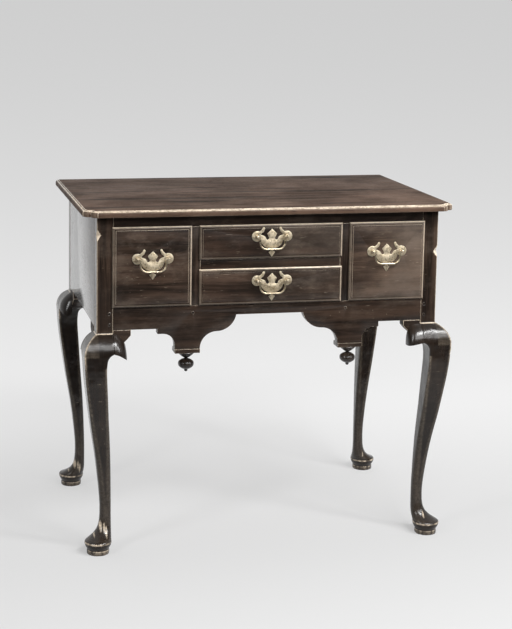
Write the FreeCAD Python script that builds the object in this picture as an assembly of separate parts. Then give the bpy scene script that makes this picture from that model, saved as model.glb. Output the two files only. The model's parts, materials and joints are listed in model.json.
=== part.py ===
"""Lowboy: a small five-foot-board dressing table on four cabriole legs.

Millimetres, +Z up.  The origin is on the floor under the middle of the object,
X runs along the front from left to right and Y runs from the front to the back.
"""
import FreeCAD, Part
import math
import os

os.makedirs("parts", exist_ok=True)
V = FreeCAD.Vector

# ---------------------------------------------------------------- driving dimensions
# Case
case_w = 800.0            # over the outer faces of the posts
case_d = 510.0            # over the outer faces of the posts
knee_z = 513.0            # floor to the knee line, where the square posts begin
case_h = 268.0            # knee line to the underside of the top
post_w = 37.0             # square posts
frame_t = 22.0            # rails, dividers and apron, front to back
panel_t = 18.0            # side boards
back_t = 15.0             # back board
back_inset = 3.0          # back board behind the rear faces of the posts
panel_rise = 11.0         # lower edge of side and back boards above the knee line

# Top
top_t = 15.0
top_over = 32.0           # overhang at the front and the sides
top_over_back = 12.0
corner_cut = 29.0         # length of the shaped front corners along each edge
corner_step = 2.0         # small square step at each end of the shaping
corner_ledge = 1.0
lobe_r = 12.0             # the two round lobes of a corner
top_mould_w = 6.5         # moulded edge, inwards
top_mould_h = 6.0         # moulded edge, downwards
top_quirk = 1.5           # square step above the moulding

# Front frame
top_rail_h = 28.5
mid_rail_h = 24.0
divider_w = 23.0
centre_open_w = 329.0     # clear width between the dividers
opening_z = 58.5          # floor of the drawer openings above the knee line
lower_open_h = 80.5       # clear height for the lower middle drawer

# Apron outline, heights above the knee line
apron_flat = 7.5          # straight lower edge beside the posts
arch_flat = 35.0          # straight lower edge in the middle
pendant_drop = 41.5       # knee line down to the foot of the pendants
pendant_x = 192.0         # middle of a pendant from the middle of the case
pendant_w = 58.0
outer_cove_r = 28.0
outer_lip_w = 12.0
outer_lip_h = 12.0
inner_cove_r = 39.0
ogee_r = 46.0

# Pendants
plinth_t = 9.5
plinth_over = 3.0         # in front of the apron
plinth_d = 36.0
dowel_r = 5.0
collar_r = 18.0
collar_h = 3.5
cup_h = 11.3              # the cup under the collar, down to the neck
neck_r = 3.3
ball_r = 18.4
ball_h = 25.5
ball_shoulder = 0.30      # cut line round the ball, down from its top, in ball heights
cut_line = 0.6
nib_r = 4.2
nib_h = 6.0

# Legs
knee_out = 32.0           # knees in front of the case and behind it
front_knee_side = 31.0    # front knees beyond its sides
rear_knee_side = 28.5     # and rear knees
knee_taper = 0.8          # the knee draws in by this much below its fullest part
shoulder_h = 46.0         # knee line down to the fullest part of the knee
cove_r = 21.5             # hollow inside the knee
cove_in = 6.0             # middle of that hollow beyond the post's inner face
cove_drop = 62.0          # knee line down to the middle of that hollow
foot_in = 5.5             # middle of the foot inside the post's outer faces
pad_r = 31.5
pad_h = 31.0
pad_rim_z = 27.5
disc_r = 25.6
disc_h = 10.5
foot_fillet = 1.2

# Knee blocks and the brackets behind them
ear_low_drop = 41.5       # knee line down to the underside of an ear, beside the leg
ear_end_t = 7.0           # far end of an ear, front to back
ear_end_h = 8.5           # and from its top to its tip
# Each ear was sawn by eye: how wide, how far down its tip, how square its curve across and down
ear_forms = {"left": (30.5, 59.0, 1.5, 2.9), "right": (34.0, 50.0, 3.6, 2.2), "side": (31.0, 56.0, 2.0, 2.3)}
bracket_w = 41.0
side_bracket_w = 62.0
bracket_t = 27.0
bracket_nose_h = 13.0
bracket_foot_drop = 39.0
bracket_bow = 2.0

# Joinery
tenon_l = 20.0
tenon_t = 8.0
shoulder = 5.0            # tenon shoulder at the edges of a board
joint_play = 0.2
peg_r = 3.2
peg_l = 21.0
peg_proud = 0.5
peg_play = 0.1
peg_edge = 8.0            # pegs from the shoulder and from the edge of a tenon
side_peg_in = 46.0        # side pegs from the ends of the side boards
mid_tenon_l = 11.0
divider_tenon_l = 14.0    # up into the top rail
divider_tenon_low = 21.0  # down into the apron
divider_peg_off = 4.0     # those pegs beyond the middle of the divider

# Inside
runner_h = 20.0
runner_lap = 14.0         # runner under the side of a drawer
upper_runner_h = 16.0
guide_h = 25.0
kicker_h = 16.0
block_l = 60.0
block_w = 20.0
block_y = 130.0           # outer blocks along the sides, from the middle one
block_x = 270.0           # outer blocks along the rails, from the middle one
runner_w = 18.0

# Drawers
drawer_play = 1.0         # round the drawer in its opening, each side
run_gap = 0.3             # between faces that slide
lip = 3.0                 # lip over the frame at the top and the sides
lip_t = 8.2               # front face in front of the frame
lip_edge = 2.6            # square outer edge of the lip
lip_lift = 1.0            # lower edge of a front above its rail
lip_mould_w = 8.0
lip_quirk = 1.2
core_t = 14.0             # drawer front inside the opening
drawer_rear_gap = 22.0    # end of a closed drawer in front of the back board
side_t = 10.0
side_drop = 3.0           # drawer sides below the opening's top
bottom_t = 6.0
groove_w = 4.0
groove_d = 5.0
groove_z = 8.0
tail_l = 10.0             # dovetails into the front
tail_slope = 1.6
tail_w = 26.0             # one tail and its pin, about
tail_edge = 4.0

# Handles
post_x = 35.0             # handle post from the middle of the handle
plate_t = 1.8
plate_top = 16.8          # crest above the posts
plate_low = 47.5          # tip below the posts
plate_lobe_r = 12.0       # round lobes behind the posts
plate_lobe_in = 5.5       # where a lobe meets its horn, inside the post
plate_lobe_low = 8.0      # where a lobe meets the shield, below the post
pivot_out = 8.0           # pivot in front of the plate
post_head_r = 4.0
collar_out = 2.0
post_shank_r = 2.8
nut_w = 10.0
nut_t = 4.0
pin_r = 1.5
pin_play = 0.08
hole_play = 0.2
elbow_r = 2.2
nut_past = 3.0
bail_x = 29.3             # middle of a bail's arm
bail_r = 2.0
bail_drop = 28.6
bail_corner = 16.0
handle_up = 20.5          # posts above the middle of a side drawer
handle_up_wide = 12.5     # and of a middle drawer
# Each handle as it was nailed on: to the right of and above its place
handle_set = {"left": (0.5, -1.0), "right": (-2.0, 3.5), "upper": (-0.5, 0.0), "lower": (1.0, 0.5)}

# ---------------------------------------------------------------- worked-out places
half_w = case_w / 2
half_d = case_d / 2
top_z = knee_z + case_h                       # underside of the top
floor_z = knee_z + opening_z                  # floor of the openings
ceiling_z = top_z - top_rail_h                # top of the openings
post_in = half_w - post_w                     # inner face of the posts
centre_half = centre_open_w / 2
divider_out = centre_half + divider_w
mid_z = floor_z + lower_open_h                # underside of the middle rail
upper_z = mid_z + mid_rail_h
front_y = -half_d
frame_back = front_y + frame_t
back_front = half_d - back_inset - back_t     # front face of the back board
foot_z = knee_z - pendant_drop                # foot of the pendants


def box(x0, x1, y0, y1, z0, z1):
    return Part.makeBox(abs(x1 - x0), abs(y1 - y0), abs(z1 - z0),
                        V(min(x0, x1), min(y0, y1), min(z0, z1)))


def mirror_x(shape):
    return shape.mirror(V(0, 0, 0), V(1, 0, 0))


def mirror_y(shape):
    return shape.mirror(V(0, 0, 0), V(0, 1, 0))


def joined(shapes):
    return shapes[0].fuse(shapes[1:]).removeSplitter()


def outline(start, *steps):
    """A closed wire: a step of one point is straight, of two points an arc through the first."""
    edges = []
    here = start
    for step in steps:
        if len(step) == 2 and isinstance(step[0], V):
            edges.append(Part.Arc(here, step[0], step[1]).toShape())
            here = step[1]
        else:
            edges.append(Part.makeLine(here, step))
            here = step
    if here.distanceToPoint(start) > 1e-6:
        edges.append(Part.makeLine(here, start))
    return Part.Wire(edges)


def plate(wire, along):
    return Part.Face(wire).extrude(along)


def ovolo(width, height, count=6):
    """Inset and rise along a quarter of an ellipse, from the outer edge up to its top."""
    steps = []
    for i in range(count + 1):
        turn = math.pi / 2 * i / count
        steps.append((width * (1 - math.cos(turn)), height * math.sin(turn)))
    return steps


def export(name, shapes):
    shape = shapes if isinstance(shapes, Part.Shape) else Part.makeCompound(shapes)
    shape.exportStep("parts/%s.step" % name)


# ---------------------------------------------------------------- top
def top_outline(inset, z):
    """Plan of the top, drawn in by inset, with two lobes and a cusp at each front corner."""
    left = -half_w - top_over
    front = front_y - top_over
    back = half_d + top_over_back - inset
    cut = corner_cut + corner_ledge
    lobe = lobe_r - inset
    bulge = lobe * math.sqrt(0.5)
    ledge = corner_step + inset
    cusp = corner_cut - lobe_r + inset
    far = corner_step + lobe_r

    def at(side, a, b):
        return V(-side * (left + a), front + b, z)

    def half_corner(side, flip):
        """From an edge of the top to the cusp: the points, and the middle of the lobe's arc."""
        spots = [(cut + inset, inset), (cut + inset, ledge), (corner_cut, ledge),
                 (corner_cut - bulge, far - bulge), (corner_cut - lobe, far), (cusp, cusp)]
        return [at(side, b, a) if flip else at(side, a, b) for a, b in spots]

    def inwards(h):
        return [h[1], h[2], (h[3], h[4]), h[5]]

    def outwards(h):
        return [h[4], (h[3], h[2]), h[1], h[0]]

    left_front, left_side = half_corner(-1, False), half_corner(-1, True)
    right_front, right_side = half_corner(1, False), half_corner(1, True)
    steps = inwards(left_front) + outwards(left_side)
    steps += [V(left + inset, back, z), V(-left - inset, back, z), right_side[0]]
    steps += inwards(right_side) + outwards(right_front)
    return outline(left_front[0], *steps)


def top_board():
    shelf = top_z + top_t - top_quirk - top_mould_h
    slab = plate(top_outline(0, top_z), V(0, 0, shelf - top_z))
    wires = [top_outline(inset, shelf + rise) for inset, rise in ovolo(top_mould_w * 0.85, top_mould_h)]
    edge = Part.makeLoft(wires, True, True)
    field = plate(top_outline(top_mould_w, shelf), V(0, 0, top_mould_h + top_quirk))
    return slab.fuse([edge, field])


export("top_board", top_board())


# ---------------------------------------------------------------- legs
# One piece of timber each: square post, cabriole leg and turned pad foot.  The stations of the
# leg follow: height as a share of the knee line, how far the outer and the inner faces stand
# beyond the post's outer face, in post widths, and how round the section is (1 is a circle).
knee_low = knee_z - cove_drop
cove_face = cove_r - cove_in - post_w
leg_line = (
    (0.830, 0.804, -0.561, 0.12),
    (0.747, 0.686, -0.627, 0.17),
    (0.637, 0.480, -0.720, 0.28),
    (0.507, 0.202, -0.848, 0.45),
    (0.390, -0.036, -0.936, 0.64),
    (0.273, -0.214, -0.989, 0.82),
    (0.185, -0.285, -1.010, 0.93),
    (0.140, -0.255, -1.013, 0.97),
    (0.113, -0.165, -1.015, 0.97),
    (0.095, -0.024, -1.011, 0.97),
    (0.083, 0.138, -1.002, 0.97),
    (0.073, 0.332, -0.993, 0.97),
    (0.065, 0.517, -0.983, 0.97),
    (0.059, 0.626, -0.974, 0.97),
)


def leg_section(low, side, front, roundness, z):
    """A section of a leg in its corner frame: its inner faces at low, its outer ones at side and front."""
    r = (side - low) / 2 * roundness
    mid = r * (1 - math.sqrt(0.5))
    return outline(V(low + r, low, z), V(side - r, low, z),
                   (V(side - mid, low + mid, z), V(side, low + r, z)), V(side, front - r, z),
                   (V(side - mid, front - mid, z), V(side - r, front, z)), V(low + r, front, z),
                   (V(low + mid, front - mid, z), V(low, front - r, z)), V(low, low + r, z),
                   (V(low + mid, low + mid, z), V(low + r, low, z)))


def knee_wire(out, point):
    """A knee that stands out so far, from the side; point(u, z) places a distance and a height."""
    full_z = knee_z - shoulder_h
    halfway = shoulder_h * 0.55
    radius = (out ** 2 + shoulder_h ** 2) / (2 * out)
    reach = out - radius + math.sqrt(radius ** 2 - halfway ** 2)
    return outline(point(-post_w, knee_z), point(0, knee_z),
                   (point(reach, full_z + halfway), point(out, full_z)),
                   point(out - knee_taper, knee_low), point(-post_w, knee_low))


def turned_foot():
    """The round pad and the disc below it, turned on one axis."""
    rim_rise = (pad_h - pad_rim_z) / 2
    wire = outline(V(0, 0, 0), V(disc_r, 0, 0), V(disc_r, 0, disc_h),
                   V(disc_r - foot_fillet, 0, disc_h + foot_fillet),
                   (V(pad_r - 2 * foot_fillet, 0, (disc_h + pad_rim_z) / 2), V(pad_r, 0, pad_rim_z)),
                   (V(pad_r - foot_fillet, 0, pad_rim_z + rim_rise), V(pad_r - rim_rise, 0, pad_h)),
                   V(0, 0, pad_h))
    return Part.Face(wire).revolve(V(0, 0, 0), V(0, 0, 1), 360)


def corner_leg(side_out):
    """The leg in its corner frame: the post's outer faces are x = 0 and y = 0, outwards positive."""
    slim = knee_out - side_out
    span = post_w + knee_out + 1
    post = box(-post_w, 0, -post_w, 0, knee_z, top_z)
    across = plate(knee_wire(knee_out, lambda u, v: V(-post_w, u, v)), V(span, 0, 0))
    along = plate(knee_wire(side_out, lambda u, v: V(u, -post_w, v)), V(0, span, 0))
    knee = across.common(along)
    middle = -post_w - cove_in
    for start, axis in ((V(middle, -post_w - 1, knee_low), V(0, 1, 0)),
                        (V(-post_w - 1, middle, knee_low), V(1, 0, 0))):
        knee = knee.cut(Part.makeCylinder(cove_r, span + 2, start, axis))
    wires = [leg_section(cove_face, side_out - knee_taper, knee_out - knee_taper, 0.1, knee_low)]
    for share, outer, inner, roundness in leg_line:
        front = outer * post_w
        wires.append(leg_section(inner * post_w, front - slim * min(1, 4 * share), front, roundness,
                                 share * knee_z))
    foot = turned_foot()
    foot.translate(V(-foot_in, -foot_in, 0))
    return post.fuse([knee, Part.makeLoft(wires, True, False), foot])


def in_corner(shape, side_x, side_y):
    """Moves a piece from the corner frame to one of the four corners of the case."""
    if side_x < 0:
        shape = mirror_x(shape)
    if side_y < 0:
        shape = mirror_y(shape)
    shape.translate(V(side_x * half_w, side_y * half_d, 0))
    return shape


# ---------------------------------------------------------------- tenons and pegs
def grown(shape, play):
    b = shape.BoundBox
    return box(b.XMin - play, b.XMax + play, b.YMin - play, b.YMax + play,
               b.ZMin - play, b.ZMax + play)


def both_sides(make):
    """What make gives for the left side, -1, and for the right side, 1."""
    return [make(-1), make(1)]


rail_mid_y = front_y + frame_t / 2
back_mid_y = back_front + back_t / 2
panel_mid_x = half_w - panel_t / 2
half_tenon = tenon_t / 2


def end_tenons(middle_y, z0, z1):
    """Tenons of a board that runs from left to right between two posts."""
    return both_sides(lambda s: box(s * post_in, s * (post_in + tenon_l), middle_y - half_tenon,
                                    middle_y + half_tenon, z0 + shoulder, z1 - shoulder))


apron_tenons = end_tenons(rail_mid_y, knee_z + apron_flat, floor_z)
top_rail_tenons = end_tenons(rail_mid_y, ceiling_z, top_z)
back_tenons = end_tenons(back_mid_y, knee_z + panel_rise, top_z)
post_back = half_d - post_w                   # inner faces of the posts, front and back


def panel_tenon(side, end):
    return box(side * (panel_mid_x - half_tenon), side * (panel_mid_x + half_tenon),
               end * post_back, end * (post_back + tenon_l),
               knee_z + panel_rise + shoulder, top_z - shoulder)


def divider_tenon(side, z0, z1):
    return box(side * (centre_half + shoulder), side * (divider_out - shoulder),
               rail_mid_y - half_tenon, rail_mid_y + half_tenon, z0, z1)


def mid_rail_tenon(side):
    return box(side * centre_half, side * (centre_half + mid_tenon_l), rail_mid_y - half_tenon,
               rail_mid_y + half_tenon, mid_z + shoulder, upper_z - shoulder)


panel_tenons = [[panel_tenon(side, -1), panel_tenon(side, 1)] for side in (-1, 1)]
divider_mid_x = centre_half + divider_w / 2
divider_tenons = [[divider_tenon(side, floor_z - divider_tenon_low, floor_z),
                   divider_tenon(side, ceiling_z, ceiling_z + divider_tenon_l)] for side in (-1, 1)]
mid_rail_tenons = [mid_rail_tenon(-1), mid_rail_tenon(1)]


def peg(x, z, radius):
    return Part.makeCylinder(radius, peg_l, V(x, front_y - peg_proud, z), V(0, 1, 0))


def side_peg(side, y, z, radius):
    return Part.makeCylinder(radius, peg_l, V(side * half_w, y, z), V(-side, 0, 0))


def all_pegs(radius):
    front = [peg(side * (post_in + peg_edge), z, radius) for side in (-1, 1)
             for z in (floor_z - shoulder - peg_edge, knee_z + apron_flat + shoulder + peg_edge)]
    front += [peg(side * (divider_mid_x + divider_peg_off), floor_z - divider_tenon_low + shoulder, radius)
              for side in (-1, 1)]
    sides = [side_peg(side, end * (post_back + peg_edge), z, radius) for side in (-1, 1)
             for end in (-1, 1) for z in (knee_z + panel_rise + side_peg_in, top_z - side_peg_in)]
    return front + sides


peg_holes = all_pegs(peg_r + peg_play)
mortises = [grown(t, joint_play) for t in apron_tenons + top_rail_tenons + back_tenons
            + panel_tenons[0] + panel_tenons[1]]

blanks = {-1: corner_leg(front_knee_side), 1: corner_leg(rear_knee_side)}
for name, side_x, side_y in (("front_left", -1, -1), ("front_right", 1, -1),
                             ("rear_left", -1, 1), ("rear_right", 1, 1)):
    export("leg_" + name, in_corner(blanks[side_y], side_x, side_y).cut(mortises + peg_holes))
export("pegs", all_pegs(peg_r))


# ---------------------------------------------------------------- knee blocks and brackets
def ear_section(share, knee, form):
    """An ear from the side, at a share of its width away from a knee that stands out so far."""
    width, drop, across, down = form
    fall = 1 - (1 - share ** across) ** (1 / down)
    x = -post_w - share * width
    top = knee_z - (drop - ear_end_h) * fall
    low = knee_z - ear_low_drop - (drop - ear_low_drop) * share ** 1.5
    out = knee - (knee - ear_end_t) * fall
    return outline(V(x, 0, top), (V(x, out * 0.78, (top + low) / 2), V(x, out, low)), V(x, 0, low))


def corner_ear(knee, form):
    """A shaped block that carries the knee on along the front, in the corner frame."""
    sections = [ear_section(share, knee, form) for share in (0, 0.2, 0.4, 0.6, 0.78, 0.91, 1)]
    return Part.makeLoft(sections, True, False)


def corner_bracket(width, top):
    """The block behind an ear, under the apron or a side board, in the corner frame."""
    far = -post_w - width
    nose_z = knee_z + apron_flat - bracket_nose_h
    foot = knee_z - bracket_foot_drop
    bow = V((far - post_w) / 2 - bracket_bow, 0, (nose_z + foot) / 2 - bracket_bow)
    wire = outline(V(-post_w, 0, top), V(far, 0, top), V(far, 0, nose_z), (bow, V(-post_w, 0, foot)))
    return plate(wire, V(0, -bracket_t, 0))


def turned_to_side(shape):
    """A piece made for the front of a corner, swapped over to its side."""
    swap = FreeCAD.Matrix(0, 1, 0, 0, 1, 0, 0, 0, 0, 0, 1, 0, 0, 0, 0, 1)
    return shape.transformGeometry(swap)


front_ears = {-1: corner_ear(knee_out, ear_forms["left"]), 1: corner_ear(knee_out, ear_forms["right"])}
side_ears = {-1: turned_to_side(corner_ear(front_knee_side, ear_forms["side"])),
             1: turned_to_side(corner_ear(rear_knee_side, ear_forms["side"]))}
front_bracket = corner_bracket(bracket_w, knee_z + apron_flat)
side_bracket = turned_to_side(corner_bracket(side_bracket_w, knee_z + panel_rise))
brackets = []
for name, side_x, side_y in (("front_left", -1, -1), ("front_right", 1, -1),
                             ("rear_left", -1, 1), ("rear_right", 1, 1)):
    export("knee_block_%s_side" % name, in_corner(side_ears[side_y], side_x, side_y))
    brackets.append(in_corner(side_bracket, side_x, side_y))
    if side_y < 0:
        export("knee_block_%s_front" % name, in_corner(front_ears[side_x], side_x, side_y))
        brackets.append(in_corner(front_bracket, side_x, side_y))
export("brackets", brackets)


# ---------------------------------------------------------------- boards of the case
def apron():
    cove_z = knee_z + apron_flat - outer_lip_h
    neck_out, neck_in = pendant_x + pendant_w / 2, pendant_x - pendant_w / 2
    lip_x = neck_out + outer_cove_r + outer_lip_w
    cove_mid = math.sqrt(0.5)
    inner_top = foot_z + inner_cove_r
    inner_x = neck_in - inner_cove_r
    ogee_z = inner_top + ogee_r
    ogee_end = math.degrees(math.acos((ogee_z - knee_z - arch_flat) / ogee_r))
    flat_x = inner_x - ogee_r * math.sin(math.radians(ogee_end))

    def half(s):
        def at(x, z):
            return V(s * x, front_y, z)

        bulge = math.radians(ogee_end / 2)
        return [at(post_in, knee_z + apron_flat), at(lip_x, knee_z + apron_flat),
                at(lip_x, cove_z), at(neck_out + outer_cove_r, cove_z),
                at(neck_out + outer_cove_r * (1 - cove_mid), cove_z - outer_cove_r * (1 - cove_mid)),
                at(neck_out, cove_z - outer_cove_r), at(neck_out, foot_z), at(neck_in, foot_z),
                at(neck_in - inner_cove_r * (1 - cove_mid), foot_z + inner_cove_r * cove_mid),
                at(inner_x, inner_top),
                at(inner_x - ogee_r * math.sin(bulge), ogee_z - ogee_r * math.cos(bulge)),
                at(flat_x, knee_z + arch_flat)]

    p, q = half(-1), half(1)
    wire = outline(V(-post_in, front_y, floor_z), *p[:4], (p[4], p[5]), p[6], p[7], (p[8], p[9]),
                   (p[10], p[11]), q[11], (q[10], q[9]), (q[8], q[7]), q[6], q[5], (q[4], q[3]),
                   q[2], q[1], q[0],
                   V(post_in, front_y, floor_z))
    board = plate(wire, V(0, frame_t, 0))
    mortise = [grown(pair[0], joint_play) for pair in divider_tenons]
    return board.fuse(apron_tenons).cut(mortise + peg_holes)


export("apron", apron())
top_rail = box(-post_in, post_in, front_y, frame_back, ceiling_z, top_z).fuse(top_rail_tenons)
export("top_rail", top_rail.cut([grown(pair[1], joint_play) for pair in divider_tenons]))
for name, side, pair in (("left", -1, divider_tenons[0]), ("right", 1, divider_tenons[1])):
    divider = box(side * centre_half, side * divider_out, front_y, frame_back, floor_z, ceiling_z)
    divider = divider.fuse(pair).cut([grown(t, joint_play) for t in mid_rail_tenons] + peg_holes)
    export("divider_" + name, divider)
    panel = box(side * (half_w - panel_t), side * half_w, post_w - half_d, half_d - post_w,
                knee_z + panel_rise, top_z)
    export("side_board_" + name, panel.fuse(panel_tenons[0 if side < 0 else 1]).cut(peg_holes))
middle_rail = box(-centre_half, centre_half, front_y, frame_back, mid_z, upper_z)
export("middle_rail", middle_rail.fuse(mid_rail_tenons))
back = box(-post_in, post_in, back_front, back_front + back_t, knee_z + panel_rise, top_z)
export("back_board", back.fuse(back_tenons))


# ---------------------------------------------------------------- pendants
def pendant_drop_shape():
    """Turned drop: dowel, collar, cup, neck, flattened ball with a cut line, and nib."""
    diagonal = math.sqrt(0.5)
    top = foot_z - plinth_t
    cup_z = top - collar_h
    neck_z = cup_z - cup_h
    ball_mid = neck_z - ball_h / 2
    low = neck_z - ball_h
    tip = low - nib_h
    cut_z = neck_z - ball_h * ball_shoulder
    cut_r = ball_r * 0.93
    wire = outline(V(0, 0, foot_z), V(dowel_r, 0, foot_z), V(dowel_r, 0, top), V(collar_r, 0, top),
                   (V(collar_r + collar_h / 5, 0, top - collar_h / 2), V(collar_r, 0, cup_z)),
                   (V(collar_r * 0.66, 0, cup_z - cup_h * 0.5), V(neck_r, 0, neck_z)),
                   (V(ball_r * 0.66, 0, neck_z - ball_h * 0.12), V(cut_r, 0, cut_z + cut_line)),
                   V(cut_r - cut_line, 0, cut_z), V(cut_r + cut_line / 2, 0, cut_z - cut_line),
                   (V(ball_r, 0, ball_mid), V(ball_r * 0.86, 0, ball_mid - ball_h * 0.24)),
                   (V(ball_r * 0.62, 0, ball_mid - ball_h * 0.39), V(nib_r * 1.15, 0, low)),
                   V(nib_r, 0, tip + nib_r),
                   (V(nib_r * diagonal, 0, tip + nib_r * (1 - diagonal)), V(0, 0, tip)))
    return Part.Face(wire).revolve(V(0, 0, 0), V(0, 0, 1), 360)


plinth_front = front_y - plinth_over
plinth_mid = plinth_front + plinth_d / 2
for name, side in (("left", -1), ("right", 1)):
    drop = pendant_drop_shape()
    drop.translate(V(side * pendant_x, plinth_mid, 0))
    hole = Part.makeCylinder(dowel_r + peg_play, plinth_t + 2,
                             V(side * pendant_x, plinth_mid, foot_z - plinth_t - 1))
    slab = box(side * (pendant_x - pendant_w / 2), side * (pendant_x + pendant_w / 2),
               plinth_front, plinth_front + plinth_d, foot_z - plinth_t, foot_z)
    export("pendant_plinth_" + name, slab.cut(hole))
    export("pendant_drop_" + name, drop)


# ---------------------------------------------------------------- inside of the case
def run(side, x0, x1, z0, z1):
    """A strip from the front frame to the back board, x measured from the middle outwards."""
    return box(side * x0, side * x1, frame_back, back_front, z0, z1)


def between_posts(side, z0, z1):
    return box(side * post_in, side * (half_w - panel_t), post_w - half_d, half_d - post_w, z0, z1)


def outer_strip(side, z0, z1):
    """Under or over the outer side of a side drawer, let in between the posts."""
    return joined([run(side, post_in - runner_w, post_in, z0, z1), between_posts(side, z0, z1)])


def inner_strip(side, z0, z1):
    """Under or over the neighbouring sides of a side drawer and a middle drawer."""
    return run(side, centre_half - runner_lap, divider_out + runner_lap, z0, z1)


export("side_runners", both_sides(lambda s: outer_strip(s, floor_z - runner_h, floor_z)))
export("inner_runners", both_sides(lambda s: inner_strip(s, floor_z - runner_h, floor_z)))
export("upper_runners", both_sides(lambda s: run(s, centre_half - runner_lap, divider_out,
                                                 upper_z - upper_runner_h, upper_z)))
export("kickers", both_sides(lambda s: outer_strip(s, ceiling_z, ceiling_z + kicker_h))
       + both_sides(lambda s: inner_strip(s, ceiling_z, ceiling_z + kicker_h)))
export("drawer_guides", both_sides(lambda s: between_posts(s, floor_z, floor_z + guide_h))
       + both_sides(lambda s: run(s, centre_half, divider_out, floor_z, floor_z + guide_h))
       + both_sides(lambda s: run(s, centre_half, divider_out, upper_z, upper_z + guide_h)))


def block_along_side(side, y):
    x = side * (half_w - panel_t)
    low = ceiling_z + kicker_h
    wire = outline(V(x, y - block_l / 2, top_z), V(x - side * block_w, y - block_l / 2, top_z),
                   V(x, y - block_l / 2, low))
    return plate(wire, V(0, block_l, 0))


def block_along_rail(x, y, towards):
    wire = outline(V(x - block_l / 2, y, top_z), V(x - block_l / 2, y + towards * block_w, top_z),
                   V(x - block_l / 2, y, top_z - block_w))
    return plate(wire, V(block_l, 0, 0))


blocks = [block_along_side(side, y) for side in (-1, 1) for y in (-block_y, 0, block_y)]
blocks += [block_along_rail(x, y, towards) for x in (-block_x, 0, block_x)
           for y, towards in ((frame_back, 1), (back_front, -1))]
export("glue_blocks", blocks)


# ---------------------------------------------------------------- drawers
lip_back = front_y - run_gap
face_y = front_y - lip_t                      # front of every drawer
core_back = lip_back + core_t
drawer_end = back_front - drawer_rear_gap


def upright(x0, x1, z0, z1, y):
    return outline(V(x0, y, z0), V(x1, y, z0), V(x1, y, z1), V(x0, y, z1))


def tails(x0, x1, z0, z1, root, tip):
    """Dovetails of a side board, wider at the tip, spread evenly from z0 to z1."""
    count = max(1, round((z1 - z0) / tail_w))
    pitch = (z1 - z0) / count
    wide = pitch * 0.62
    made = []
    for i in range(count):
        z = z0 + (i + 0.5) * pitch
        wire = outline(V(x0, root, z - wide / 2 + tail_slope), V(x0, tip, z - wide / 2),
                       V(x0, tip, z + wide / 2), V(x0, root, z + wide / 2 - tail_slope))
        made.append(plate(wire, V(x1 - x0, 0, 0)))
    return made


def bail(x, z):
    """The swinging handle: a U of rod with two pins turned outwards into the post heads."""
    y = face_y - plate_t - pivot_out
    turn = bail_corner * (1 - math.sqrt(0.5))
    low = z - bail_drop

    def at(dx, dz):
        return V(x + dx, y, dz)

    edges = [Part.makeLine(at(-bail_x, z), at(-bail_x, low + bail_corner)),
             Part.Arc(at(-bail_x, low + bail_corner), at(-bail_x + turn, low + turn),
                      at(-bail_x + bail_corner, low)).toShape(),
             Part.makeLine(at(-bail_x + bail_corner, low), at(bail_x - bail_corner, low)),
             Part.Arc(at(bail_x - bail_corner, low), at(bail_x - turn, low + turn),
                      at(bail_x, low + bail_corner)).toShape(),
             Part.makeLine(at(bail_x, low + bail_corner), at(bail_x, z))]
    path = Part.Wire(edges)
    ring = Part.Wire([Part.makeCircle(bail_r, at(-bail_x, z), V(0, 0, 1))])
    rod = path.makePipeShell([ring], True, True)
    parts = [Part.makeSphere(elbow_r, at(side * bail_x, z)) for side in (-1, 1)]
    parts += [Part.makeCylinder(pin_r, post_x - bail_x, at(side * bail_x, z), V(side, 0, 0))
              for side in (-1, 1)]
    return rod.fuse(parts)


def handle_plate(x, z):
    """Cut brass plate: round lobes under the posts, horns, a crest and a shield below.

    The corners are in shares of the distance from the middle to a post.
    """
    lobe_top = math.sqrt(plate_lobe_r ** 2 - plate_lobe_in ** 2)
    lobe_low = math.sqrt(plate_lobe_r ** 2 - plate_lobe_low ** 2)

    def half(side):
        def at(dx, dz):
            return V(x + side * dx * post_x, face_y, z + dz * post_x)

        leaf = [at(0.155, 0.325), at(0.320, 0.170), at(0.285, 0.075), at(0.195, -0.085)]
        notch = [(at(0.235, -0.205), at(0.345, -0.225)), at(0.410, -0.130), at(0.465, -0.010)]
        arm = [at(0.590, 0.045), at(0.745, 0.095), at(0.700, 0.195)]
        horn = [at(0.560, 0.295), at(0.490, 0.480), (at(0.545, 0.600), at(0.625, 0.560)), at(0.665, 0.465)]
        lobe = [V(x + side * (post_x - plate_lobe_in), face_y, z + lobe_top),
                (V(x + side * (post_x + plate_lobe_r), face_y, z),
                 V(x + side * (post_x - lobe_low), face_y, z - plate_lobe_low))]
        shield = [(at(0.590, -0.570), at(0.100, -0.790))]
        drop = [at(0.085, -0.985), at(0.215, -1.045)]
        return leaf + notch + arm + horn + lobe + shield + drop

    def backwards(steps, last):
        spots = [s[1] if isinstance(s, tuple) else s for s in steps]
        turned = []
        for i in range(len(steps) - 1, -1, -1):
            before = spots[i - 1] if i else last
            turned.append((steps[i][0], before) if isinstance(steps[i], tuple) else before)
        return turned

    crest = V(x, face_y, z + plate_top)
    right, left = half(1), half(-1)
    wire = outline(crest, *(right + [V(x, face_y, z - plate_low), left[-1]] + backwards(left, crest)))
    holes = [Part.makeCylinder(post_shank_r + hole_play, plate_t + 2, V(x + side * post_x, face_y + 1, z),
                               V(0, -1, 0)) for side in (-1, 1)]
    return plate(wire, V(0, -plate_t, 0)).cut(holes)


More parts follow.
